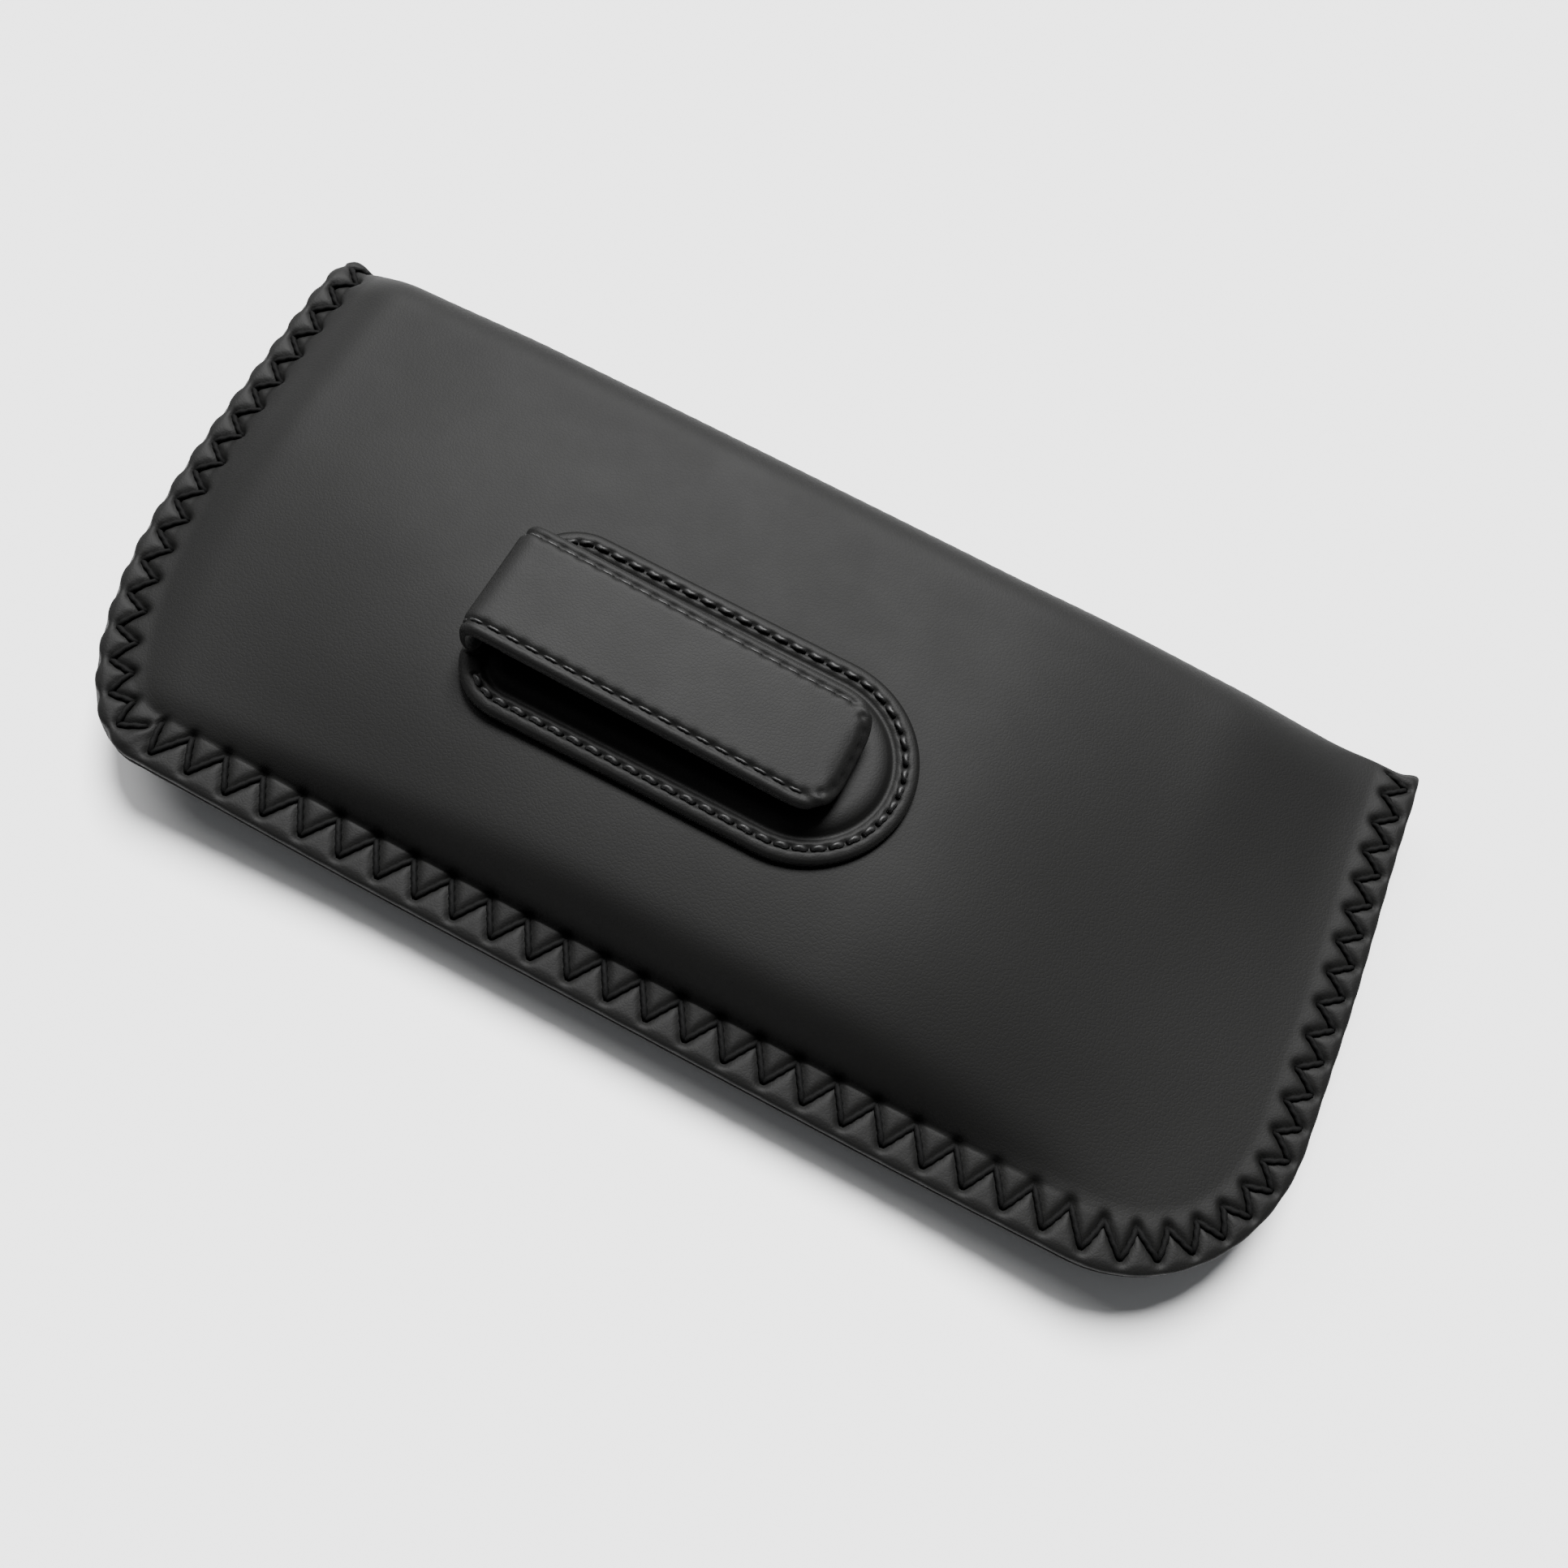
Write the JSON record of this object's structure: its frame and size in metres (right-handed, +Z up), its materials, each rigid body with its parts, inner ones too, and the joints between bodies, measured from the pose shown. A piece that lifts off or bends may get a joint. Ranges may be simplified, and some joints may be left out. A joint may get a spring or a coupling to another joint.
{
  "type": "spectacle case",
  "caption": "Soft padded slip-in spectacle case of black leather, folded along one long edge, closed by a zigzag seam, with a leather-covered spring clip on its back.",
  "frame": {"origin": "bottom centre of the whole object's box, on the face it lies on", "axes": "+X from the mouth to the closed end, +Y from the closing seam to the folded edge, +Z up through the back panel and its clip"},
  "size_m": [0.172, 0.082, 0.0224],
  "materials": {
    "case_leather": "satin, fine grain",
    "clip_leather": "satin, fine grain",
    "lining_fabric": "short brushed pile",
    "foam": "open-cell foam",
    "thread": "twisted thread",
    "spring_steel": "rolled strip"
  },
  "bodies": {
    "case": {"outer_leather": "case_leather", "lining": "lining_fabric", "back_pad": "foam", "front_pad": "foam", "closing_seam_upper_thread": "thread", "closing_seam_lower_thread": "thread", "back_lip_outer_thread": "thread", "back_lip_inner_thread": "thread", "front_lip_outer_thread": "thread", "front_lip_inner_thread": "thread", "clip_patch": "clip_leather", "patch_upper_thread": "thread", "patch_lower_thread": "thread", "clip_spring_base": "spring_steel"},
    "clip_arm": {"clip_spring_arm": "spring_steel", "arm_upper_cover": "clip_leather", "arm_lower_cover": "clip_leather", "arm_upper_thread": "thread", "arm_lower_thread": "thread"}
  },
  "joints": [
    {"name": "clip_flex", "type": "hinge", "parent": "case", "child": "clip_arm", "pos_m": [-0.0335, -0.0018, 0.0178], "axis": [0, -1, 0], "range_deg": [-0.8, 14], "stiffness_Nm_per_rad": 2}
  ]
}
